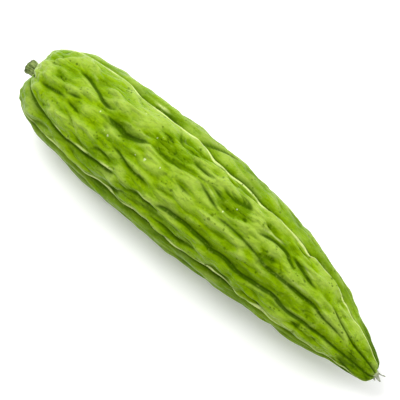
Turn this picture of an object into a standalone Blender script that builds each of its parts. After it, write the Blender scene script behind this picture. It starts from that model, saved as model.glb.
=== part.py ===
"""A bitter gourd lying on a table: the ribbed fruit, its cut stem and the dried blossom left at its tip.

+X runs from the stem to the tip, +Z is up and the table is z = 0. Shape values are in millimetres, and are
turned into metres where the meshes are made.
"""

import math

import bmesh
import bpy
import numpy as np
from mathutils import Matrix, Vector

MM = 0.001

# The whole gourd
LIP_X = -135.85  # where the stem end's rounded lip stands; distances along the fruit are counted from it
AXIS_Y = 0.11
AXIS_Z = 34.5  # height of the straight part of the fruit's axis: low enough for two ribs to lie flat

# The fruit's outline: distance from the lip, and radius over the crests of the ribs. It starts at the seat
# of the stem, inside the hollow, and ends at the seat of the blossom.
OUTLINE = (
    (5.0, 0.0), (5.0, 3.0), (5.0, 6.0), (2.4, 8.8), (0.0, 12.5), (1.5, 17.5), (5.0, 23.0), (11.0, 27.2),
    (20.0, 30.7), (29.0, 32.5), (46.0, 34.2), (64.0, 35.3), (82.0, 35.9), (108.0, 36.3), (135.0, 35.8),
    (152.0, 34.9), (170.0, 33.4), (188.0, 31.2), (205.0, 28.7), (222.0, 25.8), (232.0, 23.3), (241.0, 20.0),
    (250.0, 16.4), (260.0, 12.9), (268.5, 9.5), (273.4, 7.0), (275.0, 4.6), (275.3, 2.4), (275.3, 0.0),
)  # fmt: skip
SEAT_X = OUTLINE[0][0]
TIP_X = OUTLINE[-1][0]
BEND_FROM = 147.0  # past here the axis curves down to the table and to one side
BEND_DOWN = 16.0
BEND_ASIDE = 7.2

# Furrows between the ribs: distance from the lip, and angle round the axis in degrees. 0 is up, and 90 is
# the -Y side. The first four are the ones on the upper face.
FURROWS = [
    ((0, -46), (20, -43.5), (45, -42), (60, -38.5), (78, -32.5), (105, -33), (125, -33), (137, -28),
     (150, -28), (160, -30.5), (168, -26.5), (182, -29), (195, -28), (215, -35), (230, -35.5), (245, -32),
     (277, -38)),
    ((0, 2), (20, 2), (60, 6), (100, 8), (150, 11), (200, 9), (237, 4), (247, 4), (260, 10), (277, 8)),
    ((0, 38), (8, 42), (20, 51), (38, 56.5), (52, 60), (66, 58), (84, 54), (104, 51), (130, 47), (150, 47.5),
     (165, 52), (174, 49.5), (188, 52.5), (206, 46.5), (220, 50), (244, 46), (277, 48)),
    ((0, 86), (20, 82.5), (45, 80), (60, 81.5), (84, 76.5), (100, 78), (114, 75.5), (150, 79), (160, 76.5),
     (190, 79), (220, 78), (240, 83), (277, 92)),
]  # fmt: skip
HIDDEN_FURROWS = (104, 128, 153, 180, 207, 234, 261, 289)
HIDDEN_WAVER = 2.5  # degrees that a hidden furrow strays from its angle
HIDDEN_WAVE = 85.0  # length of that waver
SHALLOW_FURROW = 1  # this one is only open near the two ends
FURROW_DEPTH = 2.6
FURROW_WALL = 3.2  # from the bottom of a furrow to where its wall has mostly risen
RIB_CROWN = 1.1  # how much a rib is higher at its middle than at its edges
FULL_RADIUS = 30.0  # where the fruit is slimmer than this, its furrows are finer
ROWS = 66
ROWS_TO_ENDS = 0.4  # how much closer the rows are at the two ends than on average
COLUMNS_PER_RIB = 6

# Hollows in the ribs of the upper face: distance from the lip, angle, length along the fruit, width, depth
HOLLOWS = (
    (28.0, 25.0, 18.0, 9.0, 1.8), (52.0, -3.0, 26.0, 7.0, 1.4), (78.0, 45.0, 16.0, 6.0, 1.5),
    (84.0, 12.0, 30.0, 9.0, 2.4), (98.0, 36.0, 28.0, 6.0, 1.4), (110.0, -18.0, 12.0, 8.0, 1.2),
    (132.0, 20.0, 18.0, 8.0, 1.3), (133.0, -6.0, 22.0, 6.0, 1.3), (147.0, 6.0, 20.0, 7.0, 1.8),
    (195.0, -1.0, 24.0, 7.0, 1.9), (214.0, 1.0, 18.0, 6.0, 1.5), (252.0, 5.0, 30.0, 7.0, 1.7),
)  # fmt: skip

# The stem: a ribbed stub, cut square
STEM_LENGTH = 14.0
STEM_RADIUS = 4.6
STEM_RIDGES = 9
STEM_RIDGE = 0.45
STEM_STEPS = ((0.25, 0.88), (0.35, 0.94), (0.4, 1.08))  # share of the length, and change of girth
STEM_RISE = 0.06  # how far it rises for each millimetre of its length
SEAT_GAP = 0.4

# The dried blossom: a shrivelled cup with a few curled scraps of petal
CUP_RADIUS = 2.3
CUP_LENGTH = 1.6
PETAL_SPACING = 0.12
PETAL_THINNING = 0.55  # girth of a petal's tip, against its root
PETALS = ((3.8, 0.5), (2.2, 1.2), (1.5, 0.8), (3.2, 1.4), (2.2, 0.9))  # length, and how far it spreads outwards


def material(name, colour, roughness):
    made = bpy.data.materials.new(name)
    made.use_nodes = True
    shader = made.node_tree.nodes["Principled BSDF"]
    shader.inputs["Base Color"].default_value = (*colour, 1.0)
    shader.inputs["Roughness"].default_value = roughness
    shader.inputs["Metallic"].default_value = 0.0
    return made


def add_object(name, mesh_data, finish):
    """Turns a bmesh in millimetres into a named object in metres."""
    bmesh.ops.scale(mesh_data, vec=(MM, MM, MM), verts=mesh_data.verts)
    bmesh.ops.recalc_face_normals(mesh_data, faces=mesh_data.faces)
    mesh = bpy.data.meshes.new(name)
    mesh_data.to_mesh(mesh)
    mesh_data.free()
    mesh.shade_smooth()
    mesh.materials.append(finish)
    made = bpy.data.objects.new(name, mesh)
    bpy.context.scene.collection.objects.link(made)
    return made


def smooth_line(points, shares):
    """A smooth curve through the points, as one point at each of the shares of its length."""
    p = np.array(points, float)
    p = np.vstack([2 * p[0] - p[1], p, 2 * p[-1] - p[-2]])
    share = np.linspace(0.0, 1.0, 24, endpoint=False)[:, None]
    stretches = []
    for a, b, c, d in zip(p[:-3], p[1:-2], p[2:-1], p[3:]):
        cubic = (3 * b - a - 3 * c + d) * share**3 + (2 * a - 5 * b + 4 * c - d) * share**2
        stretches.append(0.5 * (cubic + (c - a) * share + 2 * b))
    dense = np.vstack([*stretches, p[-2:-1]])
    steps = np.linalg.norm(np.diff(dense, axis=0), axis=1)
    length = np.concatenate([[0.0], np.cumsum(steps)])
    return np.stack([np.interp(shares * length[-1], length, dense[:, k]) for k in (0, 1)], axis=1)


def outline_rows():
    """For each row round the fruit: its distance along, its radius, and the way that its skin faces."""
    even = np.linspace(0.0, 1.0, ROWS + 1)
    line = smooth_line(OUTLINE, even - ROWS_TO_ENDS * np.sin(2 * math.pi * even) / (2 * math.pi))
    along = np.gradient(line, axis=0)
    along /= np.linalg.norm(along, axis=1)[:, None]
    return line[:, 0], line[:, 1], np.stack([-along[:, 1], along[:, 0]], axis=1)


def furrow_angles(distance):
    """The angle of each furrow at each row, in degrees, with the furrows in order round the fruit."""
    lines = [np.interp(distance, *zip(*path)) for path in FURROWS]
    for k, angle in enumerate(HIDDEN_FURROWS):
        lines.append(angle + HIDDEN_WAVER * np.sin(2 * math.pi * distance / HIDDEN_WAVE + 2.1 * k))
    return np.array(lines)


def furrow_depths(distance, radius):
    """How deep each furrow is at each row. They run out towards the middle of the stem's hollow."""
    count = len(FURROWS) + len(HIDDEN_FURROWS)
    depth = np.tile(FURROW_DEPTH * np.clip(radius / FULL_RADIUS, 0, 1), (count, 1))
    near_ends = np.clip(np.abs(distance - 130.0) / 40.0 - 1.8, 0, 1)
    depth[SHALLOW_FURROW] *= near_ends
    return depth


def hollow_depth(distance, angle, radius):
    """How far the hollows take the skin in at a place, its angle in radians."""
    depth = 0.0
    for at, middle, length, width, deepest in HOLLOWS:
        along = 2 * (distance - at) / length
        across = 2 * math.remainder(angle - math.radians(middle), 2 * math.pi) * radius / width
        depth += deepest * math.exp(-(along**2) - across**2)
    return depth


def axis_at(distance):
    """Where the fruit's axis runs, as Y and Z."""
    bend = np.clip((distance - BEND_FROM) / (TIP_X - BEND_FROM), 0, None) ** 2
    return AXIS_Y - BEND_ASIDE * bend, AXIS_Z - BEND_DOWN * bend


def fruit():
    """A sheet of rows and columns, wrapped round the axis. Its columns follow the furrows."""
    distance, radius, facing = outline_rows()
    angles = furrow_angles(distance)
    depths = furrow_depths(distance, radius)
    ribs = len(angles)
    columns = ribs * COLUMNS_PER_RIB
    mesh_data = bmesh.new()
    bmesh.ops.create_grid(mesh_data, x_segments=ROWS, y_segments=columns, size=0.5)
    for vert in mesh_data.verts:
        row = round((vert.co.x + 0.5) * ROWS)
        column = round((vert.co.y + 0.5) * columns) % columns
        rib, place = divmod(column, COLUMNS_PER_RIB)
        share = place / COLUMNS_PER_RIB
        start = angles[rib, row]
        end = angles[(rib + 1) % ribs, row]
        width = (end - start) % 360.0
        angle = math.radians(start + share * width)
        slimness = min(1.0, radius[row] / FULL_RADIUS)
        to_edge = math.radians(min(share, 1 - share) * width) * radius[row]
        near = rib if share < 0.5 else (rib + 1) % ribs
        relief = -depths[near, row] * math.exp(-((to_edge / (FURROW_WALL * slimness + 0.1)) ** 1.4))
        relief -= RIB_CROWN * (1 - math.sin(math.pi * share)) * slimness
        relief -= hollow_depth(distance[row], angle, radius[row])
        out = max(radius[row] + relief * facing[row, 1], 0.0)
        y, z = axis_at(distance[row])
        vert.co.x = LIP_X + distance[row] + relief * facing[row, 0]
        vert.co.y = y - out * math.sin(angle)
        vert.co.z = max(z + out * math.cos(angle), 0.0)  # it lies flat where it meets the table
    bmesh.ops.remove_doubles(mesh_data, verts=mesh_data.verts, dist=0.001)
    return add_object("fruit", mesh_data, material("gourd_skin", (0.27, 0.45, 0.03), 0.38))


def stem():
    """A ring of points with ridges, drawn out along the axis in short steps, then cut square."""
    y, z = axis_at(0.0)
    root = LIP_X + SEAT_X - SEAT_GAP
    mesh_data = bmesh.new()
    made = bmesh.ops.create_circle(mesh_data, cap_ends=True, segments=4 * STEM_RIDGES, radius=STEM_RADIUS)
    bmesh.ops.rotate(mesh_data, verts=made["verts"], matrix=Matrix.Rotation(-math.pi / 2, 3, "Y"))
    for vert in made["verts"]:
        angle = math.atan2(vert.co.y, vert.co.z)
        ridge = 1 + STEM_RIDGE / STEM_RADIUS * math.cos(STEM_RIDGES * angle)
        vert.co *= ridge * (STEM_RADIUS - STEM_RIDGE) / STEM_RADIUS
    bmesh.ops.translate(mesh_data, verts=made["verts"], vec=(root, y, z))
    root_face = list(mesh_data.faces)
    tip = root_face
    for step, girth in STEM_STEPS:
        grown = bmesh.ops.extrude_face_region(mesh_data, geom=tip)["geom"]
        if tip is not root_face:
            bmesh.ops.delete(mesh_data, geom=tip, context="FACES_ONLY")
        tip = [item for item in grown if isinstance(item, bmesh.types.BMFace)]
        ring = [item for item in grown if isinstance(item, bmesh.types.BMVert)]
        run = step * STEM_LENGTH
        bmesh.ops.translate(mesh_data, verts=ring, vec=(-run, 0, STEM_RISE * run))
        middle = sum((vert.co for vert in ring), Vector()) / len(ring)
        for vert in ring:
            vert.co = middle + (vert.co - middle) * girth
    return add_object("stem", mesh_data, material("stem_green", (0.09, 0.15, 0.05), 0.7))


def dried_blossom():
    """A short cup whose end is divided into wedges, each drawn out into a thin scrap of petal."""
    y, z = axis_at(TIP_X)
    mesh_data = bmesh.new()
    made = bmesh.ops.create_circle(
        mesh_data, cap_ends=True, cap_tris=True, segments=len(PETALS), radius=CUP_RADIUS
    )
    bmesh.ops.rotate(mesh_data, verts=made["verts"], matrix=Matrix.Rotation(math.pi / 2, 3, "Y"))
    bmesh.ops.translate(mesh_data, verts=made["verts"], vec=(LIP_X + TIP_X + SEAT_GAP, y, z))
    grown = bmesh.ops.extrude_face_region(mesh_data, geom=list(mesh_data.faces))["geom"]
    wedges = [item for item in grown if isinstance(item, bmesh.types.BMFace)]
    ring = [item for item in grown if isinstance(item, bmesh.types.BMVert)]
    bmesh.ops.translate(mesh_data, verts=ring, vec=(CUP_LENGTH, 0, 0))
    bmesh.ops.inset_individual(mesh_data, faces=wedges, thickness=PETAL_SPACING)
    petals = bmesh.ops.extrude_discrete_faces(mesh_data, faces=wedges)["faces"]
    for petal, (length, spread) in zip(petals, PETALS):
        middle = petal.calc_center_median()
        outwards = Vector((0, middle.y - y, middle.z - z)).normalized()
        for vert in petal.verts:
            vert.co = middle + (vert.co - middle) * PETAL_THINNING
            vert.co += Vector((length, 0, 0)) + spread * outwards
    return add_object("dried_blossom", mesh_data, material("dried_petal", (0.55, 0.55, 0.45), 0.8))


def clear_scene():
    for item in list(bpy.data.objects):
        bpy.data.objects.remove(item, do_unlink=True)


clear_scene()
fruit()
stem()
dried_blossom()
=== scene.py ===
"""A bitter gourd lying on a pale table: the furrowed waxy fruit, its cut stem and its dried blossom.

+X runs from the stem to the tip, +Z is up and the table is z = 0. Angles round the fruit are in degrees,
with 0 straight up and 90 on the -Y side. Shape values are in millimetres, and are turned into metres as each
mesh is made.
"""

import math

import bmesh
import bpy
import numpy as np
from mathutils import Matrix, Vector, noise


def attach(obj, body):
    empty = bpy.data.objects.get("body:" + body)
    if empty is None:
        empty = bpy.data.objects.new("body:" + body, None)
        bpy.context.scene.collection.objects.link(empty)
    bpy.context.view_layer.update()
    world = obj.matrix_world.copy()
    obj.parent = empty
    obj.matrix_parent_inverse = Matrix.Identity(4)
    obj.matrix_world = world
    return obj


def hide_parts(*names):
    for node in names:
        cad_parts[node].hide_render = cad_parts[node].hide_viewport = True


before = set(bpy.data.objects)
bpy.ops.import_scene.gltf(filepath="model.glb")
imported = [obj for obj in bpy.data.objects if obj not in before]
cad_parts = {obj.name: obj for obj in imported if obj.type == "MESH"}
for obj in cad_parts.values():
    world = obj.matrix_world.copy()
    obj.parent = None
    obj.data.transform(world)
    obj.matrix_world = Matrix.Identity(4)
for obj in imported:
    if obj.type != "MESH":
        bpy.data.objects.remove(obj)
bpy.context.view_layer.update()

# ---- The fruit ----
# One fleshy body with a thin waxy skin, grown from the stem to the withered blossom. Long furrows divide it
# into ribs, and the skin between them is puckered into bumps and creases. It lies on two of its ribs.

MM = 0.001
LIP_X = -135.85  # where the stem end's rounded lip stands; distances along the fruit are counted from it
AXIS_Y = 0.11
AXIS_Z = 34.5
BEND_FROM = 147.0  # past here the axis curves down to the table and to one side
BEND_DOWN = 16.0
BEND_ASIDE = 7.2

# Distance from the lip, and radius over the crests, from the seat of the stem to the seat of the blossom
OUTLINE = (
    (5.0, 0.0), (5.0, 3.0), (5.0, 6.0), (2.4, 8.8), (0.0, 12.5), (1.5, 17.5), (5.0, 23.0), (11.0, 27.2),
    (20.0, 30.7), (29.0, 32.5), (46.0, 34.2), (64.0, 35.3), (82.0, 35.9), (108.0, 36.3), (135.0, 35.8),
    (152.0, 34.9), (170.0, 33.4), (188.0, 31.2), (205.0, 28.7), (222.0, 25.8), (232.0, 23.3), (241.0, 20.0),
    (250.0, 16.4), (260.0, 12.9), (268.5, 9.5), (273.4, 7.0), (275.0, 4.6), (275.3, 2.4), (275.3, 0.0),
)  # fmt: skip
TIP_X = OUTLINE[-1][0]
FULL_RADIUS = 30.0  # where the fruit is slimmer than this, its furrows and bumps are finer

# Lines that the mesh follows round the fruit, in order: distance from the lip, and angle. The first and the
# fourth are furrows from end to end. The two between them only guide the mesh along the upper face.
UPPER_LINES = (
    ((0, -46), (20, -43.5), (40, -42.5), (53, -40.5), (60, -39), (68, -35), (76, -32.5), (100, -32.5),
     (120, -33.5), (132, -28.5), (145, -28), (157, -30), (165, -27.5), (170, -26.5), (180, -29),
     (188, -27.5), (203, -30.5), (209, -29), (215, -35), (230, -35.5), (240, -32.5), (250, -31.5),
     (258, -34.5), (277, -36.5)),
    ((0, 2), (20, 2), (60, 6), (100, 8), (150, 11), (200, 9), (237, 4), (247, 4), (260, 10), (277, 8)),
    ((0, 38), (8, 42), (20, 51), (38, 56.5), (52, 60), (66, 58), (84, 54), (104, 53), (122, 50.5),
     (140, 46.5), (152, 48), (165, 52), (174, 49.5), (187, 52.5), (206, 46.5), (220, 50), (244, 46),
     (277, 48)),
    ((0, 84), (20, 82.5), (30, 80.5), (50, 80), (60, 81.5), (68, 80), (72, 82), (85, 76), (100, 78),
     (116, 75.5), (130, 77.5), (145, 79.5), (156, 77), (180, 77), (190, 79.5), (207, 78), (220, 78),
     (240, 83.5), (258, 90.5), (277, 95)),
)  # fmt: skip
LOWER_LINES = (104, 128, 153, 180, 207, 234, 261, 289)
LOWER_WAVER = 2.5  # degrees that a furrow under the fruit strays from its angle
LOWER_WAVE = 85.0  # length of that waver
LOWER_QUIVER = 0.6  # share of a shorter waver on top of it
RIB_COLUMNS = (54, 56, 35, 27, 19, 20, 21, 21, 21, 22, 24, 20)  # mesh columns from each line to the next
ROWS = 290
ROWS_TO_ENDS = 0.25  # how much closer the rows are at the two ends than on average

# The end-to-end furrows, by the line that each follows: depth, how wide the walls towards smaller and
# towards larger angles are, and how high the rounded rims stand on those two sides
LONG_FURROWS = {
    0: (3.8, 4.4, 1.5, 0.1, 0.9),
    3: (3.0, 1.5, 3.8, 0.8, 0.0),
    4: (2.6, 2.6, 3.6, 0.1, 0.0), 5: (2.8, 3.2, 2.4, 0.1, 0.2), 6: (2.4, 2.4, 3.8, 0.2, 0.1),
    7: (2.6, 3.0, 3.0, 0.1, 0.1), 8: (2.5, 3.6, 2.4, 0.1, 0.2), 9: (2.9, 2.4, 3.6, 0.2, 0.1),
    10: (2.6, 3.4, 2.4, 0.1, 0.2), 11: (2.4, 2.4, 3.8, 0.2, 0.1),
}  # fmt: skip
RIB_CROWN = 1.1  # how much lower a rib is at its edges than at its middle
RIB_SHOULDER = 8.0
LINE_WIDTH = 0.95
LINE_SHADE = 0.65  # how much of a furrow's darkness, its own darker green and painted shade, is a line along its bottom
WALL_SHADE = 0.55  # and how much is spread over its walls
RIM_PLACE = 1.4  # how far a rim stands from the bottom, in widths of its wall
RIM_WIDTH = 0.55
SHEEN_PLACE = 3.5  # how far from the bottom the painted sheen beside a rim is strongest
SHEEN_WIDTH = 3.0
# How a furrow's depth swells along it: share of the depth, length of a wave, and shift between furrows
FURROW_SWELLS = ((0.22, 11.0, 1.7), (0.15, 4.7, 2.9))
LEAST_FINENESS = 0.25  # how narrow furrows get where the fruit is slimmest
CREASE_REACH = 8.0  # a crease shapes the skin up to this distance past its ends
CREASE_FADE = 7.0  # and it runs out over this length before them
CREASE_FAR_RIM = 0.1
CREASE_AT_TIP = 0.35  # share of its depth that a crease keeps where the fruit is slimmest

# Creases of the upper face: depth, widths of the walls towards smaller and towards larger angles, height of
# the rim towards smaller angles, and the places that it runs through, each a distance and an angle. The
# shallowest are scratches. A crease that starts before 0 or ends past the tip runs on over that end.
CREASES = (
    (3.0, 1.6, 4.0, 0.45, ((-1, 38), (3, 38), (8, 42), (14, 47), (20, 51), (26, 53), (33, 54.5),
                           (39, 55.5))),
    (2.6, 1.6, 3.6, 0.40, ((36, 57), (45, 59), (52, 60), (57, 57.5), (65, 58), (73, 56.5), (78, 55),
                           (84, 54), (93, 52))),
    (2.0, 1.6, 3.4, 0.25, ((103, 57), (108, 54), (116, 53.5), (122, 53), (128, 54))),
    (3.0, 4.2, 1.5, 0.00, ((124, 49.5), (129, 47), (140, 46.5), (146, 46.5), (152, 48), (160, 49),
                           (165, 52), (170, 50), (174, 49.5), (180, 52), (187, 52.5), (192, 51.5),
                           (197, 49.5), (203, 48), (207, 46), (210, 46.5), (215, 49), (220, 50),
                           (225, 48.5), (231, 47), (238, 47), (244, 46), (250, 48), (260, 48), (268, 48),
                           (277, 47))),
    (2.8, 2.8, 1.7, 0.15, ((32, -9), (38, -9), (44, -6), (49, -3), (53, -1), (57, 2.5), (61, 4), (65, 4),
                           (69, 1))),
    (1.0, 1.8, 1.4, 0.10, ((47, -18), (55, -19), (62, -21), (67, -20))),
    (0.9, 1.8, 1.4, 0.10, ((69, -16), (75, -14), (80, -10))),
    (2.2, 1.8, 2.2, 0.15, ((35, 19.5), (39, 18), (43, 16), (49, 13.5))),
    (2.4, 2.4, 2.4, 0.30, ((-1, 30), (4, 30), (9, 29.5), (14, 29))),
    (2.2, 3.2, 3.6, 0.10, ((16, 29), (20, 28), (26, 26.5), (33, 24.5), (39, 24))),
    (1.6, 1.8, 2.0, 0.10, ((10, 2), (17, 0), (23, -1))),
    (0.8, 1.6, 1.6, 0.05, ((33, 35), (38, 42), (40, 46), (43, 50))),
    (0.8, 1.6, 1.6, 0.05, ((47, 35), (53, 40), (59, 44))),
    (1.9, 1.6, 2.4, 0.20, ((69, 49), (73, 44), (77, 43), (82, 43.5), (87, 46.5))),
    (3.0, 2.8, 3.4, 0.15, ((66, 11), (72, 13), (76, 13), (81, 14.5), (86, 14), (91, 12), (95, 9), (100, 7))),
    (1.3, 1.5, 1.8, 0.10, ((99, 7), (108, 7), (114, 7.5), (120, 7.5), (128, 8))),
    (1.0, 1.6, 1.6, 0.10, ((75, -2), (81, -1.5), (87, -2))),
    (1.0, 1.6, 1.6, 0.10, ((91, 0), (97, 0), (102, 0.5))),
    (1.5, 1.8, 1.8, 0.15, ((103, -29), (108, -20), (111, -15), (115, -12), (121, -14))),
    (1.9, 1.7, 2.2, 0.15, ((122, -8), (128, -6), (133, -5.5), (138, -5), (143, -4.5))),
    (1.6, 2.8, 3.2, 0.05, ((124, 17.5), (130, 20), (135, 21), (140, 22))),
    (1.9, 1.6, 2.4, 0.15, ((79, 31), (86, 32), (91, 34), (96, 37), (101, 38.5), (107, 38.5), (115, 39))),
    (0.9, 1.6, 1.8, 0.05, ((116, 36.5), (121, 34), (126, 34.5), (131, 33))),
    (1.9, 1.8, 2.6, 0.15, ((135, 3.5), (140, 7), (144, 9), (148, 11.5), (152, 13.5), (157, 16.5))),
    (2.3, 1.8, 2.2, 0.10, ((143, 1), (148, 2), (152, 3.5), (156, 5.5))),
    (1.6, 1.8, 2.8, 0.15, ((156, 21), (165, 20), (172, 20), (180, 21), (187, 22.5), (195, 24))),
    (2.3, 2.4, 3.0, 0.20, ((190, 24), (197, 26), (207, 24), (220, 21.5), (230, 18), (237, 21), (246, 20),
                           (254, 21))),
    (2.2, 1.8, 2.2, 0.20, ((235, -6), (241, -2), (246, 2), (251, 5), (256, 9), (261, 11), (268, 9),
                           (277, 8))),
    (2.5, 2.0, 2.4, 0.25, ((180, 7), (184, 3), (188, 0), (193, -2.5), (197, -4), (201, -3), (203, 0),
                           (207, 3), (210, 7))),
    (2.3, 1.8, 3.0, 0.20, ((203, -7), (209, -4.5), (215, -2), (221, 0), (227, 0.5))),
    (1.5, 2.6, 1.7, 0.20, ((115, -37), (124, -42), (132, -47), (141, -53))),
    (1.4, 1.6, 1.4, 0.30, ((77, -35), (83, -38), (90, -38.5), (96, -37), (101, -34))),
    (0.7, 0.9, 0.9, 0.10, ((55, 18), (60, 17), (65, 16.5))),
    (0.7, 0.9, 0.9, 0.10, ((57, 9), (61, 13), (65, 17))),
    (0.7, 0.9, 0.9, 0.10, ((64, 8), (65, 13), (66, 18))),
    (0.8, 0.9, 0.9, 0.10, ((66, 18), (71, 16), (76, 16.5))),
    (0.7, 0.9, 0.9, 0.10, ((65, 20), (70, 22), (75, 23.5))),
    (0.7, 0.9, 0.9, 0.10, ((61, 19), (64, 24), (65, 28))),
    (1.8, 1.8, 2.2, 0.10, ((250, -56), (260, -56), (270, -57), (277, -58))),
)  # fmt: skip

# Small pits and low bumps of the upper face: distance, angle, length, width and height, negative for a pit.
# A pit gets painted shade too, and a bump a painted sheen.
SPOTS = (
    (102, 21, 2.6, 2.2, -1.0), (183, -8, 3.0, 2.4, -1.1), (171, 5, 3.2, 2.2, -0.9),
    (175, 10, 3.0, 2.4, -1.0), (178, 16, 3.2, 2.4, -0.9), (196, 14, 3.0, 2.2, -0.8),
    (66, 15, 5.0, 2.6, -1.0), (71, 21, 4.0, 2.4, -0.7), (117, 20, 3.0, 2.2, -0.7),
    (88, -31, 20.0, 5.0, 0.9), (78, 50, 16.0, 5.0, 0.8), (191, 7, 18.0, 7.0, 1.0),
    (172, 5.5, 4.0, 3.6, -0.6), (167, -13.5, 7.0, 4.5, -0.7), (159, -4.5, 5.0, 4.0, -0.6),
    (191, 29, 4.0, 3.6, -0.5), (197, 14.5, 4.5, 3.6, -0.7), (191, -49, 5.0, 3.5, -0.6),
    (125, 12.5, 4.0, 3.0, -0.6), (140, 11.5, 4.0, 3.0, -0.6), (224, -14, 9.0, 7.0, 1.0),
    (222, 12, 34.0, 7.0, 0.9), (197, 23, 26.0, 6.0, -0.4), (222, 20, 28.0, 6.0, -0.4),
    (83, 8, 22.0, 9.0, -0.8), (228, 54, 16.0, 7.0, 0.9), (215, -3, 18.0, 6.0, -0.4),
    (157, 9, 16.0, 9.0, 1.0), (172, -8, 26.0, 13.0, 0.8), (150, -8, 12.0, 10.0, 0.8),
    (14, 16, 18.0, 12.0, 1.0), (30, 9, 16.0, 9.0, 0.5), (100, -8, 26.0, 8.0, 0.5),
    (165, -12, 30.0, 9.0, 0.6),
)  # fmt: skip

# Where whole lobes of the fruit stand out or lie back, given the same way
LOBES = ((0, 15, 26, 34, -2.0), (2, 88, 30, 20, 1.8), (270, 112, 22, 12, 1.5), (268, -45, 18, 9, 0.7))

# Small scuffs that show the pale flesh, and painted glints at some of them: distance, angle and size
SCUFFS_AND_GLINTS = (
    (103, 22, 1.5), (97, 24, 0.9), (99.5, -2, 0.9), (102, -5, 0.9), (114, 19, 1.0), (158.5, 13, 1.1),
    (163.5, 2.5, 0.9), (62, 13, 0.9), (65, 22, 0.8), (72, 25, 0.9), (75.5, 26.5, 1.1), (9, 29, 1.2),
    (136, 8, 0.9), (84, -12, 0.8),
)  # fmt: skip


def smooth_line(points, step):
    """A smooth curve through the points, as points a step apart, or at an array of shares of its length."""
    knots = np.array(points, float)
    knots = np.vstack([2 * knots[0] - knots[1], knots, 2 * knots[-1] - knots[-2]])
    share = np.linspace(0.0, 1.0, 24, endpoint=False)[:, None]
    stretches = []
    for before, start, end, after in zip(knots[:-3], knots[1:-2], knots[2:-1], knots[3:]):
        cubic = (3 * start - before - 3 * end + after) * share**3
        square = (2 * before - 5 * start + 4 * end - after) * share**2
        stretches.append(0.5 * (cubic + square + (end - before) * share + 2 * start))
    dense = np.vstack([*stretches, knots[-2:-1]])
    length = np.concatenate([[0.0], np.cumsum(np.linalg.norm(np.diff(dense, axis=0), axis=1))])
    if np.isscalar(step):
        wanted = np.linspace(0.0, length[-1], max(2, round(length[-1] / step) + 1))
    else:
        wanted = step * length[-1]
    return np.stack([np.interp(wanted, length, dense[:, k]) for k in (0, 1)], axis=1)


def ramp(value, start, end):
    """How far a value is on its way from start to end, kept between 0 and 1."""
    return np.clip((value - start) / (end - start), 0, 1)


def turn(angle):
    """An angle in radians, brought between minus and plus half a turn."""
    return (angle + math.pi) % (2 * math.pi) - math.pi


def line(offset, width):
    """The dark line along the bottom of a furrow, partly the furrow's own darker green and partly painted
    shade.
    """
    return np.exp(-((offset / width) ** 2))


def groove(offset, low_side, high_side):
    """A furrow's cross section, 1 at the bottom and 0 away from it, with a wall of its own on each side."""
    return np.exp(-np.abs(offset) / np.where(offset < 0, low_side, high_side))


def rim(offset, low_side, high_side, low_rim, high_rim):
    """The rounded edge that stands along each side of a furrow."""
    low = low_rim * np.exp(-(((offset + RIM_PLACE * low_side) / (RIM_WIDTH * low_side)) ** 2))
    return low + high_rim * np.exp(-(((offset - RIM_PLACE * high_side) / (RIM_WIDTH * high_side)) ** 2))


def sampled(points, stretch, size, seed):
    """Smooth noise at each of the points, in waves about as long as size, and longer along the fruit."""
    scaled = points / np.array([stretch * size, size, size]) + seed * 7.31
    values = [noise.noise(Vector(point)) for point in scaled.reshape(-1, 3)]
    return np.array(values).reshape(points.shape[:-1])


def bump_at(middle_x, middle_angle, length, width):
    """A round swelling of the fruit, 1 in its middle."""
    across = turn(angle - math.radians(middle_angle)) * radius
    return np.exp(-((2 * (distance - middle_x) / length) ** 2) - (2 * across / width) ** 2)


def wrapped(name, rings, **marks):
    """A piece from rings of points in millimetres, closed where a ring shrinks to one point.

    The marks are values at those points for the materials to read.
    """
    rows, columns = rings.shape[0] - 1, rings.shape[1]
    sheet = bmesh.new()
    bmesh.ops.create_grid(sheet, x_segments=rows, y_segments=columns, size=0.5)
    layers = {mark: sheet.verts.layers.float.new(mark) for mark in marks}
    for vert in sheet.verts:
        row = round((vert.co.x + 0.5) * rows)
        column = round((vert.co.y + 0.5) * columns) % columns
        vert.co = Vector(rings[row, column]) * MM
        for mark, layer in layers.items():
            vert[layer] = marks[mark][row, column]
    bmesh.ops.remove_doubles(sheet, verts=sheet.verts, dist=0.001 * MM)
    bmesh.ops.recalc_face_normals(sheet, faces=sheet.faces)
    mesh = bpy.data.meshes.new(name)
    sheet.to_mesh(mesh)
    sheet.free()
    mesh.shade_smooth()
    made = bpy.data.objects.new(name, mesh)
    bpy.context.scene.collection.objects.link(made)
    return made


even = np.linspace(0.0, 1.0, ROWS + 1)
outline = smooth_line(OUTLINE, even - ROWS_TO_ENDS * np.sin(2 * math.pi * even) / (2 * math.pi))
distance, radius = outline[:, :1], outline[:, 1:]
along = np.gradient(outline, axis=0)
along /= np.linalg.norm(along, axis=1)[:, None]
facing_x, facing_out = -along[:, 1:], along[:, :1]
slimness = np.clip(radius / FULL_RADIUS, 0, 1)

lines = []
for path in UPPER_LINES:
    path = smooth_line(path, 2.0)
    lines.append(np.interp(distance[:, 0], path[:, 0], path[:, 1]))
for k, place in enumerate(LOWER_LINES):
    waver = np.sin(2 * math.pi * distance[:, 0] / LOWER_WAVE + 2.1 * k)
    waver += LOWER_QUIVER * np.sin(2.6 * math.pi * distance[:, 0] / LOWER_WAVE * (1.7 + 0.13 * k) + 4.4 * k)
    lines.append(place + LOWER_WAVER * waver)
lines = np.radians(lines)
columns = []
for k, count in enumerate(RIB_COLUMNS):
    width = (lines[(k + 1) % len(lines)] - lines[k]) % (2 * math.pi)
    columns.append(lines[k][:, None] + width[:, None] * np.arange(count) / count)
angle = np.hstack(columns)
around = np.stack([distance + 0 * angle, radius * np.sin(angle), radius * np.cos(angle)], axis=2)
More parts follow.
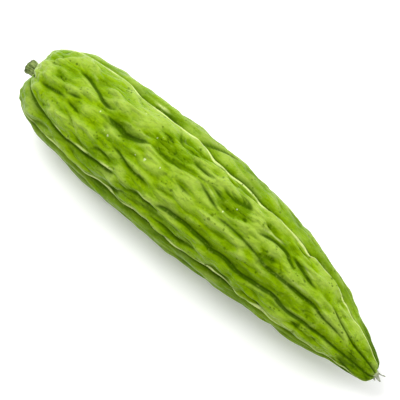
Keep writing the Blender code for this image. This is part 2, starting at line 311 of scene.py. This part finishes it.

# The ribs and the furrows between them. The first three are heights and depths of the skin, and the others
# say where it is dark, with darker green and painted shade, where it has the pale edge of a rim with a
# painted highlight, and where a painted sheen lies beside one.
hollow = np.zeros_like(angle)
raised = np.zeros_like(angle)
crown = np.zeros_like(angle)
dark = np.zeros_like(angle)
edge = np.zeros_like(angle)
pale = np.zeros_like(angle)
fineness = LEAST_FINENESS + (1 - LEAST_FINENESS) * slimness
for k, (depth, low_side, high_side, low_rim, high_rim) in LONG_FURROWS.items():
    offset = turn(angle - lines[k][:, None]) * radius
    swell = 1 + sum(share * np.sin(distance / length + shift * k) for share, length, shift in FURROW_SWELLS)
    furrow = depth * slimness**0.6 * swell
    wall = groove(offset, low_side * fineness, high_side * fineness)
    hollow += furrow * wall
    # Darker green and painted shade along the furrow's bottom and walls
    dark += furrow * (WALL_SHADE * wall + LINE_SHADE * line(offset, LINE_WIDTH * fineness))
    rims = rim(offset, low_side * fineness, high_side * fineness, low_rim, high_rim)
    raised += slimness * rims
    # A painted sheen on the skin beside each rim
    beside = np.exp(-(((np.abs(offset) - SHEEN_PLACE) / SHEEN_WIDTH) ** 2))
    pale += np.where(offset < 0, low_rim, high_rim) * beside
    # The pale rim, partly its own colour and partly a painted highlight
    edge += rims
    crown += np.exp(-((offset / (RIB_SHOULDER * fineness)) ** 2))

# The creases of the upper face
for depth, low_side, high_side, low_rim, places in CREASES:
    path = smooth_line(places, 2.5)
    near = distance[:, 0] > path[:, 0].min() - CREASE_REACH
    near &= distance[:, 0] < path[:, 0].max() + CREASE_REACH
    best = np.full(angle[near].shape, np.inf)
    side = np.zeros_like(best)
    share = np.zeros_like(best)
    for k, ((from_x, from_angle), (to_x, to_angle)) in enumerate(zip(path[:-1], path[1:])):
        run, rise = to_x - from_x, math.radians(to_angle - from_angle) * radius[near]
        past, over = distance[near] - from_x, turn(angle[near] - math.radians(from_angle)) * radius[near]
        part = np.clip((past * run + over * rise) / (run**2 + rise**2), 0, 1)
        gap = np.hypot(past - part * run, over - part * rise)
        closer = gap < best
        best = np.where(closer, gap, best)
        side = np.where(closer, np.sign(run * over - rise * past), side)
        share = np.where(closer, (k + part) / (len(path) - 1), share)
    length = path[-1, 0] - path[0, 0]
    fade = np.clip(np.minimum(share, 1 - share) * length / CREASE_FADE, 0, 1)
    if places[0][0] < 0:
        fade = np.clip((1 - share) * length / CREASE_FADE, 0, 1)
    if places[-1][0] > TIP_X:
        fade = np.clip(share * length / CREASE_FADE, 0, 1)
    fade = fade**0.7 * (CREASE_AT_TIP + (1 - CREASE_AT_TIP) * slimness[near])
    offset = best * np.where(side == 0, 1, side)
    fine = fineness[near]
    wall = groove(offset, low_side * fine, high_side * fine)
    hollow[near] += depth * fade * wall
    # Darker green and painted shade along the crease
    dark[near] += depth * fade * (WALL_SHADE * wall + LINE_SHADE * line(offset, LINE_WIDTH * fine))
    rims = fade * rim(offset, low_side * fine, high_side * fine, low_rim, CREASE_FAR_RIM)
    raised[near] += rims
    # its pale rim, partly its own colour and partly a painted highlight
    edge[near] += rims

# Pits with painted shade, low bumps with a painted sheen, whole lobes, and scuffs with painted glints at
# some of them
relief = raised - hollow - RIB_CROWN * crown * slimness
for at, middle, length, width, height in SPOTS:
    spot = bump_at(at, middle, length, width)
    relief += height * spot
    # painted shade in a pit
    dark += max(-height, 0.0) * spot
    # painted sheen on a bump
    pale += max(height, 0.0) * spot
for at, middle, length, width, height in LOBES:
    relief += height * bump_at(at, middle, length, width)
scuff = sum(bump_at(at, middle, 2 * size, 2 * size) for at, middle, size in SCUFFS_AND_GLINTS)

# The skin between the furrows is puckered. Each kind of wave has how many times longer it is along the fruit
# than across, its length across, and the seed of its noise.
WARPS = ((1.8, 22.0, 1), (1.8, 22.0, 2), (1.8, 22.0, 3))  # these bend the rows of most of the others
WARPED_BY = 4.5  # and by this much
PUCKERS = (3.0, 7.0, 4)
RIPPLES = (3.0, 3.2, 5)
SWELLS = (2.2, 20.0, 6)
FOLDS = (3.0, 10.0, 7)
WRINKLES = (5.0, 3.8, 8)
WRINKLED = (2.0, 14.0, 9)  # where the skin is wrinkled at all
RIM_BREAKS = (2.0, 6.0, 10)  # where the pale rims are faint
PUCKER_LEAN = 2.4  # how far the puckers lean over to one side
PUCKER_SHARE = 2.6  # shares of the two in the crests
RIPPLE_SHARE = 1.6
CREST_HEIGHT = 1.35
FOLD_HEIGHT = 1.7
SWELL_HEIGHT = 0.8
WRINKLE_HEIGHT = 2.0
FOLD_TOP = 0.3  # above this a fold is flat
WRINKLE_TOP = 0.2
FOLD_SHADE = 1.2  # how much painted shade lies in the bottoms of the folds, of the wrinkles, and between the crests
WRINKLE_SHADE = 1.1
VALLEY_SHADE = 1.2
YOUNG_FROM = 195.0  # the green turns fresher from here on to the next
YOUNG_FULLY = 230.0
SKIN_DROP = 0.5  # brings the mean of it all back to the outline
CALM = 0.5  # how puckered the back and the sides are, next to the upper face
CALM_NEAR_FURROWS = 0.65  # how much calmer the skin is at the bottom of a furrow

warp = WARPED_BY * np.stack([sampled(around, *wave) for wave in WARPS], axis=2)
sideways = np.stack([np.zeros_like(angle), np.cos(angle), -np.sin(angle)], axis=2)
lean = PUCKER_LEAN * sampled(around + warp, *PUCKERS)[:, :, None] * sideways
puckers = sampled(around + warp + lean, *PUCKERS)
ripples = sampled(around + warp + lean, *RIPPLES)
swells = sampled(around, *SWELLS)
folds = np.abs(sampled(around + warp, *FOLDS))
wrinkles = np.abs(sampled(around + warp, *WRINKLES))
wrinkled = np.clip(0.55 + 3.5 * sampled(around, *WRINKLED), 0, 1)

# Where the fruit's faces are, in degrees round it and distances from the lip: the upper face, the rib behind
# it, the underside, the tip and what lies before the tip
degrees = np.degrees(turn(angle))
upper = ramp(degrees, -36, -26) * ramp(degrees, 90, 75)
behind = ramp(degrees, -36, -46) * ramp(degrees, -100, -80) * np.clip(distance / 110, 0.1, 1)
under = ramp(np.degrees(np.abs(turn(angle + math.radians(20)))), 40, 90)
tip = ramp(distance, 245, 265)
before_tip = np.exp(-(((distance - 225) / 18) ** 2))

rough = (CALM + (1 - CALM) * upper) * np.clip(0.4 + distance / 35, 0, 1) * slimness**0.5
rough = rough * (1 - CALM_NEAR_FURROWS * ramp(hollow, 0, 1.2))
crests = PUCKER_SHARE * puckers + RIPPLE_SHARE * ripples
relief += rough * (CREST_HEIGHT * crests + SWELL_HEIGHT * swells - SKIN_DROP)
relief += rough * FOLD_HEIGHT * np.minimum(folds, FOLD_TOP) ** 0.8
relief += rough * wrinkled * WRINKLE_HEIGHT * np.minimum(wrinkles, WRINKLE_TOP) ** 0.8

# What the skin's paint follows: painted shade in the valleys, under the fruit, on the rib behind and towards
# the tip, broken pale rims with a painted highlight, and a painted sheen on whatever stands up
dark += rough * FOLD_SHADE * ramp(folds, 0.05, 0) * np.clip(0.4 - 2 * ripples, 0, 1)
dark += rough * WRINKLE_SHADE * wrinkled * ramp(wrinkles, 0.06, 0)
dark += rough * VALLEY_SHADE * np.clip(-0.3 - crests, 0, 1)
# Painted shade under the fruit, on the rib behind the upper face, and towards the tip
dark += 0.45 * under**2 + 0.6 * behind + 0.9 * ramp(distance, 250, 265)
edge *= np.clip(0.9 + 1.6 * sampled(around, *RIM_BREAKS), 0.4, 1.4)
# The painted sheen: on crests and swells, beside rims and before the tip, and less of it underneath, behind
# and at the tip
bloom = crests + 0.9 * pale + 0.25 * swells + 0.3 * before_tip - 0.9 * under - 0.2 * behind - 1.1 * tip
young = ramp(distance, YOUNG_FROM, YOUNG_FULLY) + 0 * angle

out = np.maximum(radius + relief * facing_out, 0.0)
bend = np.clip((distance - BEND_FROM) / (TIP_X - BEND_FROM), 0, None) ** 2
skin = np.stack(
    [
        LIP_X + distance + relief * facing_x,
        AXIS_Y - BEND_ASIDE * bend - out * np.sin(angle),
        np.maximum(AXIS_Z - BEND_DOWN * bend + out * np.cos(angle), 0.0),  # it lies flat on the table
    ],
    axis=2,
)

fruit = wrapped("fruit_skin", skin, dark=dark, rim=edge, bloom=bloom, young=young, scuff=scuff)


def feed(tree, socket, value):
    """Give an input its value, which may be the socket that it comes from."""
    if isinstance(value, bpy.types.NodeSocket):
        tree.links.new(value, socket)
    else:
        socket.default_value = value


def add_node(tree, kind, settings=None, **values):
    """A new node, with its settings and its inputs.

    An input is named with _ for each space, or its name ends in its number.
    """
    made = tree.nodes.new(kind)
    for name, value in (settings or {}).items():
        setattr(made, name, value)
    for name, value in values.items():
        key = int(name[-1]) if name[-1].isdigit() else name.replace("_", " ")
        feed(tree, made.inputs[key], value)
    return made


def marked(tree, mark):
    """One of the marks that were stored with the mesh."""
    return add_node(tree, "ShaderNodeAttribute", {"attribute_name": mark}).outputs["Fac"]


def mixed(tree, share, low, high):
    """Two colours mixed. Each may be a colour or the socket that gives it."""
    made = tree.nodes.new("ShaderNodeMix")
    made.data_type = "RGBA"
    feed(tree, made.inputs[0], share)
    feed(tree, made.inputs[6], low)
    feed(tree, made.inputs[7], high)
    return made.outputs[2]


def ranged(tree, value, low, high, to_low=0.0, to_high=1.0):
    """A value brought from one range to another, and kept inside it."""
    made = add_node(tree, "ShaderNodeMapRange", {"interpolation_type": "SMOOTHSTEP"}, Value=value)
    for name, number in (("From Min", low), ("From Max", high), ("To Min", to_low), ("To Max", to_high)):
        made.inputs[name].default_value = number
    return made.outputs["Result"]


def clouds(tree, place, fineness, detail, roughness):
    """Cloudy noise round 0.5."""
    values = {"Vector": place, "Scale": fineness, "Detail": detail, "Roughness": roughness}
    return add_node(tree, "ShaderNodeTexNoise", **values).outputs["Fac"]


def worked(tree, operation, first, second, third=0.5):
    """The result of one step of arithmetic. The third value is used only where the operation has three."""
    made = add_node(tree, "ShaderNodeMath", {"operation": operation}, Value_0=first, Value_1=second)
    feed(tree, made.inputs[2], third)
    return made.outputs[0]


streaks = bpy.data.node_groups.new("lengthwise_streaks", "ShaderNodeTree")
streaks.interface.new_socket("Place", in_out="INPUT", socket_type="NodeSocketVector")
streaks.interface.new_socket("Fineness", in_out="INPUT", socket_type="NodeSocketFloat")
streaks.interface.new_socket("Mask", in_out="OUTPUT", socket_type="NodeSocketFloat")
given = add_node(streaks, "NodeGroupInput").outputs
drawn = add_node(streaks, "ShaderNodeMapping", Vector=given["Place"], Scale=(0.4, 1.0, 1.0)).outputs[0]
add_node(streaks, "NodeGroupOutput", Mask=clouds(streaks, drawn, given["Fineness"], 4.0, 0.6))


def streaked(tree, place, fineness):
    """Streaks along the fruit, as a mask round 0.5."""
    made = add_node(tree, "ShaderNodeGroup", {"node_tree": streaks}, Place=place, Fineness=fineness)
    return made.outputs["Mask"]


skin_material = bpy.data.materials.new("waxy_green_skin")
skin_material.use_nodes = True
tree = skin_material.node_tree
shader = tree.nodes["Principled BSDF"]
place = add_node(tree, "ShaderNodeTexCoord").outputs["Object"]
shade_and_furrow_green = marked(tree, "dark")
fine = clouds(tree, place, 800.0, 3.0, 0.5)
blotches = clouds(tree, place, 55.0, 4.0, 0.6)
freckles = clouds(tree, place, 420.0, 3.0, 0.65)
patches = streaked(tree, place, 170.0)
lumps = streaked(tree, place, 380.0)

# The green, mottled, and fresher towards the tip
colour = mixed(tree, ranged(tree, blotches, 0.36, 0.64), (0.14, 0.28, 0.0, 1), (0.20, 0.355, 0.0, 1))
colour = mixed(tree, ranged(tree, marked(tree, "young"), 0.0, 1.0, 0.0, 0.7), colour, (0.235, 0.41, 0.0, 1))

# The painted sheen, the darker green and painted shade of the furrows and the underside,
# and the pale rims with a painted highlight
sheen_amount = worked(tree, "MULTIPLY_ADD", patches, 1.5, marked(tree, "bloom"))
colour = mixed(tree, ranged(tree, sheen_amount, 0.15, 2.0, 0.0, 0.8), colour, (0.325, 0.465, 0.065, 1))
colour = mixed(tree, ranged(tree, shade_and_furrow_green, 0.25, 2.3, 0.0, 0.92), colour, (0.02, 0.068, 0.0, 1))
# Pale rims, partly their own colour and partly a painted highlight
colour = mixed(tree, ranged(tree, marked(tree, "rim"), 0.1, 0.5, 0.0, 0.9), colour, (0.61, 0.72, 0.26, 1))

# Freckles darker and paler than the rest, pores that crowd where the patches are, and the scuffs, with
# painted glints at some of them
colour = mixed(tree, ranged(tree, freckles, 0.54, 0.7, 0.0, 0.4), colour, (0.07, 0.18, 0.0, 1))
colour = mixed(tree, ranged(tree, freckles, 0.46, 0.3, 0.0, 0.2), colour, (0.36, 0.50, 0.06, 1))
pores = add_node(tree, "ShaderNodeTexVoronoi", Vector=place, Scale=330.0, Randomness=1.0).outputs["Distance"]
pore_size = worked(tree, "MULTIPLY_ADD", patches, -1.6, pores)
pore_mask = ranged(tree, pore_size, -0.68, -0.8)
colour = mixed(tree, ranged(tree, pore_size, -0.66, -0.8, 0.0, 0.7), colour, (0.04, 0.10, 0.0, 1))
scuffs_and_glints_mask = worked(tree, "MULTIPLY", marked(tree, "scuff"), fine)
colour = mixed(tree, ranged(tree, scuffs_and_glints_mask, 0.28, 0.45, 0.0, 0.8), colour, (0.72, 0.80, 0.50, 1))
tree.links.new(colour, shader.inputs["Base Color"])

# Waxy on the crests and dull in the furrows
waxy = ranged(tree, freckles, 0.3, 0.7, 0.2, 0.37)
dull = ranged(tree, shade_and_furrow_green, 0.4, 1.6, 0.3, 0.9)
tree.links.new(worked(tree, "MAXIMUM", waxy, dull), shader.inputs["Roughness"])

# Lumps, a fine grain over them, and the dimples of the pores
grain = add_node(tree, "ShaderNodeBump", Height=fine, Strength=0.6, Distance=0.0005)
uneven = add_node(tree, "ShaderNodeBump", Height=lumps, Strength=1.0, Distance=0.0018)
tree.links.new(uneven.outputs["Normal"], grain.inputs["Normal"])
dimples = add_node(tree, "ShaderNodeBump", {"invert": True}, Height=pore_mask, Strength=0.5, Distance=0.0003)
tree.links.new(grain.outputs["Normal"], dimples.inputs["Normal"])
tree.links.new(dimples.outputs["Normal"], shader.inputs["Normal"])
shader.inputs["IOR"].default_value = 1.3
shader.inputs["Specular IOR Level"].default_value = 0.9
shader.inputs["Specular Tint"].default_value = (0.9, 1.0, 0.0, 1)
shader.inputs["Subsurface Weight"].default_value = 0.12
shader.inputs["Subsurface Radius"].default_value = (0.5, 1.0, 0.15)
shader.inputs["Subsurface Scale"].default_value = 0.003
fruit.data.materials.append(skin_material)
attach(fruit, "root")
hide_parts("fruit")

# ---- The stem ----
# The fibrous stalk that the fruit hung from, cut off short. It grows out of the hollow of the stem end and
# widens towards the cut, and fine ridges run along it.

# Distance from the lip and radius, from inside the fruit, out to the cut and back to the middle of the cut
STEM_OUTLINE = (
    (9.0, 0.0), (9.0, 3.2), (8.4, 3.8), (4.0, 4.0), (0.0, 4.05), (-4.0, 4.25), (-7.0, 4.55), (-8.7, 4.8),
    (-9.3, 4.7), (-9.4, 4.2), (-9.1, 3.4), (-9.0, 2.2), (-8.7, 1.2), (-8.6, 0.0),
)  # fmt: skip
STEM_ROOT = 9.0
STEM_END = -9.4
STEM_ROWS = 130
STEM_COLUMNS = 198
STEM_LEAN = (-0.7, -0.3)  # how far the cut end is out of line with the root, in Y and Z
STEM_RIDGES = 9
STEM_RIDGE = 0.55  # height of a ridge
STEM_TWIST = 0.03  # how the ridges turn round the stem, in radians a millimetre
FIBRES = (5.0, 0.9, 11)  # waves given as for the fruit
STEM_FIBRE = 0.5
CUT_GRAIN = (1.0, 1.2, 12)
CUT_ROUGHNESS = 0.5

profile = smooth_line(STEM_OUTLINE, np.linspace(0.0, 1.0, STEM_ROWS + 1))
stem_distance, stem_radius = profile[:, :1], profile[:, 1:]
turned = np.linspace(0.0, 2 * math.pi, STEM_COLUMNS, endpoint=False)[None, :] + 0.0 * stem_distance
rings = [stem_distance + 0 * turned, stem_radius * np.sin(turned), stem_radius * np.cos(turned)]
rings = np.stack(rings, axis=2)
ridge = np.abs(np.cos(STEM_RIDGES / 2 * turned + STEM_TWIST * stem_distance)) ** 0.7 - 0.6
fibre = sampled(rings, *FIBRES)
outwards = np.clip(stem_radius / 4.0, 0, 1) ** 2
reach = stem_radius + outwards * (STEM_RIDGE * ridge + STEM_FIBRE * fibre)
lean = ramp(stem_distance, STEM_ROOT, STEM_END) ** 2
face = np.clip(1 - outwards, 0, 1) * (stem_distance < 0)
rings = np.stack(
    [
        LIP_X + stem_distance + face * CUT_ROUGHNESS * sampled(rings, *CUT_GRAIN),
        AXIS_Y + STEM_LEAN[0] * lean - reach * np.sin(turned),
        AXIS_Z + STEM_LEAN[1] * lean + reach * np.cos(turned),
    ],
    axis=2,
)
cut = ramp(stem_distance, -8.3, -9.1) + 0 * turned
stem = wrapped("cut_stem", rings, cut=cut, ridge=ridge + 1.2 * fibre)
stem_material = bpy.data.materials.new("fibrous_green_stem")
stem_material.use_nodes = True
tree = stem_material.node_tree
shader = tree.nodes["Principled BSDF"]
place = add_node(tree, "ShaderNodeTexCoord").outputs["Object"]
fibres = streaked(tree, place, 1100.0)
colour = mixed(tree, ranged(tree, fibres, 0.36, 0.62), (0.075, 0.12, 0.015, 1), (0.23, 0.30, 0.08, 1))
valleys = ranged(tree, marked(tree, "ridge"), 0.1, -0.6, 0.0, 0.8)
colour = mixed(tree, valleys, colour, (0.05, 0.08, 0.008, 1))
colour = mixed(tree, ranged(tree, marked(tree, "cut"), 0.1, 0.9, 0.0, 0.75), colour, (0.06, 0.08, 0.03, 1))
tree.links.new(colour, shader.inputs["Base Color"])
fibre_bump = add_node(tree, "ShaderNodeBump", Height=fibres, Strength=0.7, Distance=0.0004)
tree.links.new(fibre_bump.outputs["Normal"], shader.inputs["Normal"])
shader.inputs["Roughness"].default_value = 0.7
shader.inputs["Specular IOR Level"].default_value = 0.3
stem.data.materials.append(stem_material)
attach(stem, "root")
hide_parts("stem")

# ---- The dried blossom ----
# What is left of the flower at the tip: a pleated papery collar on the end of the fruit, and withered scraps
# of petal that twist out of it.

BLOSSOM_FROM = (275.3, -6.85, 18.75)  # middle of the fruit's end: distance from the lip, Y and Z
COLLAR_OUTLINE = (
    (-1.0, 0.0), (-1.0, 1.6), (-0.5, 2.3), (0.1, 2.65), (0.6, 2.3), (1.0, 1.7), (1.7, 1.15), (2.2, 0.6),
    (2.3, 0.0),
)  # fmt: skip
COLLAR_ROWS = 60
COLLAR_COLUMNS = 112
COLLAR_PLEATS = 7
COLLAR_PLEAT = 0.16  # depth of a pleat, as a share of the radius
COLLAR_UNEVEN = 0.07
COLLAR_WAVE = 0.35  # how far its edge waves to and fro
COLLAR_HEIGHT = 0.9  # how high it is, next to its breadth

# Each scrap of petal: the places it passes, from that middle, each with its breadth there
PETALS = (
    ((-0.2, 1.5, 0.5, 1.7), (1.7, 1.9, 0.3, 1.3), (3.4, 2.1, -0.2, 0.9), (4.4, 2.7, 0.0, 0.9),
     (5.5, 2.5, 0.3, 0.4)),
    ((-0.2, -0.5, 0.1, 2.2), (1.8, -0.5, -0.1, 2.0), (3.6, -0.9, -0.3, 1.7), (4.9, -1.3, 0.0, 1.4)),
    ((-0.2, -1.5, -0.6, 1.8), (1.2, -2.2, -0.9, 1.5), (2.2, -2.8, -0.7, 0.8)),
    ((-0.2, 0.4, -1.0, 1.5), (1.8, 0.5, -1.8, 1.2), (3.3, 0.2, -2.4, 0.6)),
    ((-0.2, 0.6, 0.9, 1.3), (1.3, 0.8, 1.7, 1.0), (2.3, 0.6, 2.1, 0.5)),
)  # fmt: skip
PETAL_ROWS = 40
PETAL_COLUMNS = 28
PETAL_CLOSING = 0.06  # share of its length over which a scrap closes at each end
PETAL_FLATNESS = 0.42  # thickness next to breadth
PETAL_TWIST = 2.2  # how far a scrap twists from end to end, in radians
PETAL_TURN = 1.3  # and how far each is turned from the one before
PETAL_FOLD = 0.2

petal_material = bpy.data.materials.new("withered_petal")
petal_material.use_nodes = True
tree = petal_material.node_tree
shader = tree.nodes["Principled BSDF"]
place = add_node(tree, "ShaderNodeTexCoord").outputs["Object"]
veins = streaked(tree, place, 1300.0)
colour = mixed(tree, ranged(tree, veins, 0.36, 0.62), (0.22, 0.24, 0.17, 1), (0.48, 0.50, 0.40, 1))
colour = mixed(tree, ranged(tree, marked(tree, "fresh"), 0.0, 1.0, 0.0, 0.8), colour, (0.50, 0.58, 0.30, 1))
tree.links.new(colour, shader.inputs["Base Color"])
vein_bump = add_node(tree, "ShaderNodeBump", Height=veins, Strength=0.6, Distance=0.0003)
tree.links.new(vein_bump.outputs["Normal"], shader.inputs["Normal"])
shader.inputs["Roughness"].default_value = 0.85
shader.inputs["Specular IOR Level"].default_value = 0.2

origin = np.array(BLOSSOM_FROM) + (LIP_X, 0, 0)
profile = smooth_line(COLLAR_OUTLINE, np.linspace(0.0, 1.0, COLLAR_ROWS + 1))
collar_out, collar_radius = profile[:, :1], profile[:, 1:]
turned = np.linspace(0.0, 2 * math.pi, COLLAR_COLUMNS, endpoint=False)[None, :] + 0.0 * collar_out
pleat = 1 + COLLAR_PLEAT * np.cos(COLLAR_PLEATS * turned + 0.5 * collar_out)
pleat += COLLAR_UNEVEN * np.cos(3 * turned + 1.0)
reach = collar_radius * pleat
rings = origin + np.stack(
    [
        collar_out + COLLAR_WAVE * np.cos(2 * turned + 0.6) * np.clip(collar_radius / 2, 0, 1),
        -reach * np.sin(turned),
        COLLAR_HEIGHT * reach * np.cos(turned),
    ],
    axis=2,
)
pieces = [wrapped("withered_collar", rings, fresh=np.clip(1.2 - 0.5 * collar_out, 0, 1) + 0 * turned)]
for number, places in enumerate(PETALS, 1):
    passed = np.array(places)
    share = np.linspace(0.0, 1.0, PETAL_ROWS + 1)
    knots = np.linspace(0.0, 1.0, len(passed))
    bent = np.polynomial.polynomial.polyfit(knots, passed, min(3, len(passed) - 1))
    middle = np.polynomial.polynomial.polyval(share, bent).T
    closing = np.clip(np.minimum(share, 1 - share) / PETAL_CLOSING, 0, 1) ** 0.5
    breadth = 0.5 * middle[:, 3:] * closing[:, None]
    heading = np.gradient(middle[:, :3], axis=0)
    heading /= np.linalg.norm(heading, axis=1)[:, None]
    across = np.cross(heading, (0.0, 0.3, 1.0))
    across /= np.linalg.norm(across, axis=1)[:, None]
    above = np.cross(heading, across)
    twist = (PETAL_TWIST * share + PETAL_TURN * number)[:, None]
    wide = np.cos(twist) * across + np.sin(twist) * above
    thick = np.cos(twist) * above - np.sin(twist) * across
    turned = np.linspace(0.0, 2 * math.pi, PETAL_COLUMNS, endpoint=False)
    fold = 1 + PETAL_FOLD * np.cos(3 * turned[None, :] + 5 * share[:, None] + number)
    width_at = (breadth * np.cos(turned) * fold)[:, :, None]
    depth_at = (PETAL_FLATNESS * breadth * (np.sin(turned) + 0.5 * np.cos(2 * turned)) * fold)[:, :, None]
    rings = origin + middle[:, None, :3] + width_at * wide[:, None, :] + depth_at * thick[:, None, :]
    fresh = np.clip(0.6 - 1.2 * share, 0, 1)[:, None] + 0 * turned[None, :]
    pieces.append(wrapped(f"withered_petal_{number}", rings, fresh=fresh))
for piece in pieces:
    piece.data.materials.append(petal_material)
    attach(piece, "root")
    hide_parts("dried_blossom")

# ---- The floor, the light and the camera ----
# A plain white table top, a large soft lamp overhead and a pale surround that is brighter on the +Y side.

FLOOR_HALF = 40.0  # metres from the middle of the table to its edge, so that it reaches the horizon
SURROUND_STRENGTH = 0.92
SURROUND_TILT = 0.95  # how much brighter the surround is on the +Y side
LAMP_WIDTH = 0.52
LAMP_POWER = 6.2
LAMP_PLACE = Vector((-0.318, -0.077, 0.944))
CAMERA_AZIMUTH = math.radians(42.7)
CAMERA_ELEVATION = math.radians(62.0)
CAMERA_DISTANCE = 0.9
CAMERA_LENS = 137.0
CAMERA_AIM = (-4.25, 2.31, 33.5)  # what the camera looks at, in millimetres

floor_sheet = bmesh.new()
bmesh.ops.create_grid(floor_sheet, x_segments=1, y_segments=1, size=FLOOR_HALF)
floor_mesh = bpy.data.meshes.new("floor")
floor_sheet.to_mesh(floor_mesh)
floor_sheet.free()
floor = bpy.data.objects.new("floor", floor_mesh)
bpy.context.scene.collection.objects.link(floor)
floor_material = bpy.data.materials.new("white_table")
floor_material.use_nodes = True
floor_shader = floor_material.node_tree.nodes["Principled BSDF"]
floor_shader.inputs["Base Color"].default_value = (0.85, 0.85, 0.85, 1)
floor_shader.inputs["Emission Color"].default_value = (1, 1, 1, 1)
floor_shader.inputs["Emission Strength"].default_value = 0.25
floor_shader.inputs["Roughness"].default_value = 0.9
floor_shader.inputs["Specular IOR Level"].default_value = 0.1
floor_mesh.materials.append(floor_material)

world = bpy.data.worlds.new("surround")
world.use_nodes = True
tree = world.node_tree
direction = add_node(tree, "ShaderNodeTexCoord").outputs["Generated"]
northward = add_node(tree, "ShaderNodeSeparateXYZ", Vector=direction).outputs["Y"]
glow = worked(tree, "MULTIPLY_ADD", northward, SURROUND_STRENGTH * SURROUND_TILT, SURROUND_STRENGTH)
tree.links.new(glow, tree.nodes["Background"].inputs["Strength"])
tree.nodes["Background"].inputs["Color"].default_value = (1, 1, 1, 1)
bpy.context.scene.world = world

lamp_data = bpy.data.lights.new("overhead_lamp", "AREA")
lamp_data.shape = "DISK"
lamp_data.size = LAMP_WIDTH
lamp_data.energy = LAMP_POWER
lamp = bpy.data.objects.new("overhead_lamp", lamp_data)
bpy.context.scene.collection.objects.link(lamp)
lamp.location = LAMP_PLACE
lamp.rotation_euler = (-LAMP_PLACE).to_track_quat("-Z", "Y").to_euler()

camera_data = bpy.data.cameras.new("camera")
camera_data.lens = CAMERA_LENS
camera_data.sensor_width = 36.0
camera = bpy.data.objects.new("camera", camera_data)
bpy.context.scene.collection.objects.link(camera)
back = Vector(
    (
        math.sin(CAMERA_AZIMUTH) * math.cos(CAMERA_ELEVATION),
        -math.cos(CAMERA_AZIMUTH) * math.cos(CAMERA_ELEVATION),
        math.sin(CAMERA_ELEVATION),
    )
)
camera.location = Vector(CAMERA_AIM) * MM + CAMERA_DISTANCE * back
camera.rotation_euler = back.to_track_quat("Z", "Y").to_euler()
bpy.context.scene.camera = camera
bpy.context.scene.view_settings.view_transform = "Standard"
